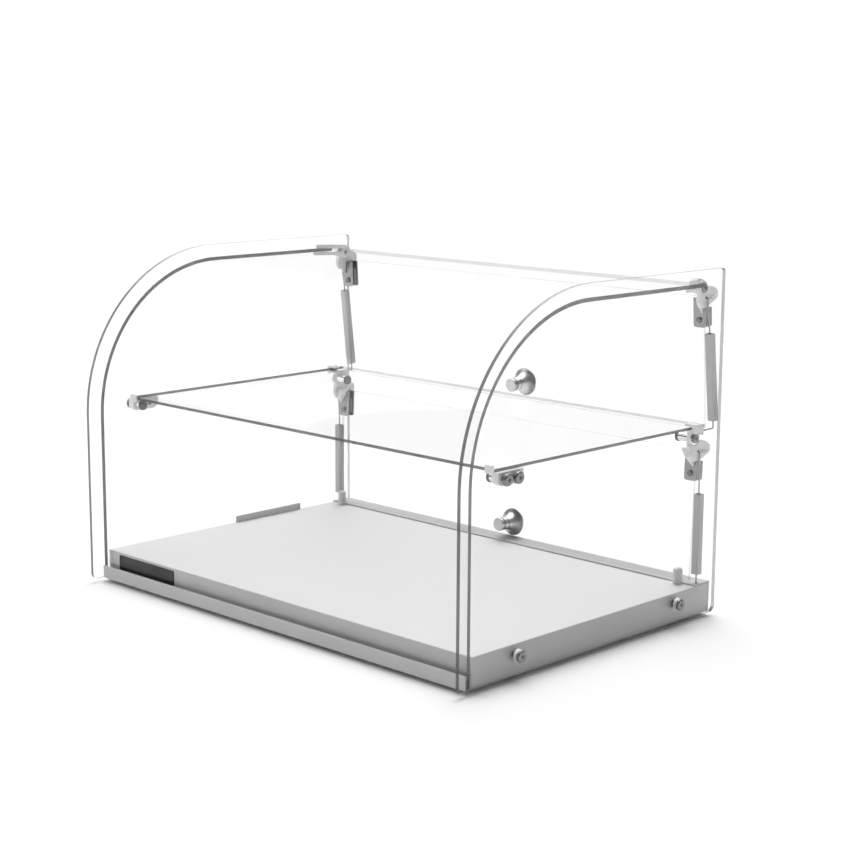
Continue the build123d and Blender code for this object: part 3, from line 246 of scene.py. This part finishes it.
def pane(name, rim_share, rim_shades, gloss, clear, rear_y=NOWHERE, through=(0.45, 0.12)):
    """Clear sheet: nearly invisible through its faces, grey where its cut edges are seen.

    rim_share gives, for each point, how far it is on a cut edge. The rim pair holds the painted shade
    of an edge that faces the front or a side, and the lighter painted tone of one that faces up or to
    the rear; through says how much the lit and the shaded edge let through.
    """
    shaded_rim, lit_rim = rim_shades
    paint = Paint(name)
    faint = paint.noise(3.0)
    tint = paint.blend(paint.span(faint, *MIDDLE), grey(clear), grey(min(1.0, clear + 0.006)))
    face_clear = paint.node("BsdfTransparent", {"Color": tint}).outputs[0]
    shine = paint.node("BsdfGlossy", {"Color": grey(1.0), "Roughness": 0.015}).outputs[0]
    share = paint.maths("MULTIPLY", paint.node("Fresnel", {"IOR": 1.5}).outputs[0], gloss)
    face = paint.mix(share, face_clear, shine)
    # Painted shade on the cut edges: those facing the front or a side take the shaded tone, those
    # facing up or lying on the rear edge take the lighter painted tone.
    toward = paint.facing()
    front = paint.span(toward["Y"], *FRONT_TURN, 1.0, 0.0)
    aside = paint.span(paint.maths("ABSOLUTE", toward["X"]), *CORNER)
    away = paint.maths("SUBTRACT", 1.0, at_rear(paint, rear_y))
    painted_rim_shade = paint.maths("MULTIPLY", paint.maths("MAXIMUM", front, aside), away)
    tone = paint.blend(painted_rim_shade, grey(lit_rim), grey(shaded_rim))
    rim_body = paint.node("BsdfPrincipled", {"Base Color": tone, "Roughness": 0.3}).outputs[0]
    rim_clear = paint.node("BsdfTransparent", {"Color": grey(0.9)}).outputs[0]
    let_through = paint.span(painted_rim_shade, 0.0, 1.0, *through)
    rim = paint.mix(let_through, rim_body, rim_clear)
    paint.surface(paint.mix(rim_share(paint), face, rim))
    return paint.material


def side_rim(paint):
    """The cut edge of a side pane: wherever it doesn't face left or right."""
    across = paint.maths("ABSOLUTE", paint.facing()["X"])
    return paint.span(across, *CORNER, 1.0, 0.0)


def bent_rim(paint):
    """The cut edges of the curved glass: its two ends and its rear edge."""
    across = paint.maths("ABSOLUTE", paint.facing()["X"])
    ends = paint.span(across, *CORNER, 0.0, 1.0)
    backward = paint.span(paint.maths("ABSOLUTE", paint.facing()["Y"]), *CORNER)
    back = paint.maths("MULTIPLY", at_rear(paint, GLASS_REAR_Y), backward)
    return paint.maths("MAXIMUM", ends, back)


def flat_rim(paint):
    """The cut edges of a level sheet: wherever it doesn't face up or down."""
    upward = paint.maths("ABSOLUTE", paint.facing()["Z"])
    return paint.span(upward, *CORNER, 1.0, 0.0)


def door_rim(paint):
    """The cut edges of a door panel: wherever it faces neither forward nor back."""
    forward = paint.maths("ABSOLUTE", paint.facing()["Y"])
    return paint.span(forward, *CORNER, 1.0, 0.0)


PAINTS = {
    "base_paint": powder_coat("base_coat", 0.68),
    "rail_paint": powder_coat("rail_coat", 0.5),
    "lip_metal": powder_coat("lip_coat", 0.60, 0.36),
    "foot_rubber": rubber("foot_rubber", 0.04),
    # Each rim pair below gives the painted shade of edges facing front or sides, then the lighter
    # painted tone of edges facing up or to the rear.
    "side_glass": pane("side_pane", side_rim, (0.10, 0.34), 0.03, 0.995, PANE_REAR_Y),
    "bent_glass": pane("bent_pane", bent_rim, (0.10, 0.30), 0.03, 0.995, GLASS_REAR_Y, (0.8, 0.12)),
    "shelf_glass": pane("shelf_pane", flat_rim, (0.08, 0.30), 0.06, 0.985, SHELF_REAR_Y, (0.7, 0.12)),
    "door_clear": pane("door_sheet", door_rim, (0.9, 0.9), 0.02, 0.998, NOWHERE, (0.85, 0.85)),
    "post_plastic": plastic("post_plastic", 0.8, 0.25, 0.6, 0.12),
    "washer_plastic": plastic("washer_plastic", 0.82, 0.3, 0.4),
    "screw_steel": brushed("screw_steel", 0.26, 0.3),
    "badge_black": plastic("badge_black", 0.006, 0.6),
    "bracket_cast": cast("bracket_cast", 0.88),
    "barrel_chrome": polished("barrel_chrome", 0.86),
    "barrel_cap_steel": brushed("cap_steel", 0.16, 0.35),
    "clamp_steel": brushed("clamp_steel", 0.36, 0.38, (40, 1, 40)),
    "pad_rubber": rubber("pad_rubber", 0.45),
    "knob_chrome": brushed("knob_steel", 0.62, 0.34, (40, 1, 40)),
    "sleeve_plastic": plastic("sleeve_plastic", 0.62, 0.3, 0.0, 0.1),
    "spring_wire": brushed("spring_wire", 0.35, 0.3),
}
OWN_PAINT = {
    "rear_rail": "rail_paint",
    "side_glass_left": "side_glass",
    "side_glass_right": "side_glass",
    "curved_glass": "bent_glass",
    "shelf_glass": "shelf_glass",
}


def paint_nodes():
    """Gives every CAD piece its finish."""
    slots = {entry["node"]: entry["material_slot"] for entry in frame["record"]["subparts"]}
    for node, piece in frame["nodes"].items():
        wanted = OWN_PAINT.get(node, slots[node])
        piece.data.materials.clear()
        piece.data.materials.append(PAINTS[wanted])


def sky():
    """Plain white surroundings that light mostly from above and a little from behind."""
    world = bpy.data.worlds.new("studio")
    bpy.context.scene.world = world
    world.use_nodes = True
    tree = world.node_tree
    tree.nodes.clear()
    new = tree.nodes.new
    link = tree.links.new
    coordinates = new("ShaderNodeTexCoord")
    toward = new("ShaderNodeVectorMath")
    toward.operation = "DOT_PRODUCT"
    toward.inputs[1].default_value = SKY_TOWARD
    link(coordinates.outputs["Generated"], toward.inputs[0])
    upward = new("ShaderNodeMath")
    upward.operation = "MAXIMUM"
    upward.inputs[1].default_value = 0.0
    link(toward.outputs["Value"], upward.inputs[0])
    power = new("ShaderNodeMath")
    power.operation = "POWER"
    power.inputs[1].default_value = SKY_POWER
    link(upward.outputs[0], power.inputs[0])
    level = new("ShaderNodeMath")
    level.operation = "MULTIPLY_ADD"
    level.inputs[1].default_value = SKY_HIGH
    level.inputs[2].default_value = SKY_LOW
    link(power.outputs[0], level.inputs[0])
    light = new("ShaderNodeBackground")
    light.inputs["Color"].default_value = WHITE
    link(level.outputs[0], light.inputs["Strength"])
    plain = new("ShaderNodeBackground")
    plain.inputs["Color"].default_value = WHITE
    plain.inputs["Strength"].default_value = BACKDROP
    seen = new("ShaderNodeLightPath")
    either = new("ShaderNodeMixShader")
    link(seen.outputs["Is Camera Ray"], either.inputs[0])
    link(light.outputs[0], either.inputs[1])
    link(plain.outputs[0], either.inputs[2])
    out = new("ShaderNodeOutputWorld")
    link(either.outputs[0], out.inputs[0])


def floor():
    """The plain pale floor."""
    bpy.ops.mesh.primitive_plane_add(size=FLOOR_SIZE, location=(0, 0, 0))
    plane = bpy.context.object
    plane.name = "floor"
    paint = Paint("floor_paint")
    shader = paint.node("BsdfDiffuse", {"Color": grey(FLOOR_TONE)})
    paint.surface(shader.outputs[0])
    plane.data.materials.append(paint.material)


def camera():
    """The photograph's viewpoint."""
    a = math.radians(CAMERA_AZIMUTH)
    e = math.radians(CAMERA_ELEVATION)
    r = math.radians(CAMERA_ROLL)
    ahead = Vector((-math.sin(a) * math.cos(e), math.cos(a) * math.cos(e), -math.sin(e)))
    level = Vector((math.cos(a), math.sin(a), 0.0))
    upright = level.cross(ahead)
    right = math.cos(r) * level + math.sin(r) * upright
    up = right.cross(ahead)
    data = bpy.data.cameras.new("camera")
    data.lens = FOCAL_MM
    data.sensor_width = SENSOR_MM
    data.clip_end = FAR_CLIP
    eye = bpy.data.objects.new("camera", data)
    bpy.context.scene.collection.objects.link(eye)
    turn = Matrix((right, up, -ahead)).transposed().to_4x4()
    eye.matrix_world = Matrix.Translation(CAMERA_PLACE) @ turn
    bpy.context.scene.camera = eye


def soft_light(name, place, aim, size, power):
    """A large soft lamp."""
    data = bpy.data.lights.new(name, "AREA")
    data.shape = "RECTANGLE"
    data.size, data.size_y = size
    data.energy = power
    lamp = bpy.data.objects.new(name, data)
    lamp.location = place
    lamp.rotation_euler = (Vector(aim) - Vector(place)).to_track_quat("-Z", "Y").to_euler()
    bpy.context.scene.collection.objects.link(lamp)


paint_nodes()
sky()
floor()
soft_light("left_softbox", LAMP_PLACE, LAMP_AIM, LAMP_SIZE, LAMP_POWER)
camera()
scene = bpy.context.scene
scene.view_settings.view_transform = "Standard"
scene.view_settings.look = "None"
scene.render.film_transparent = False
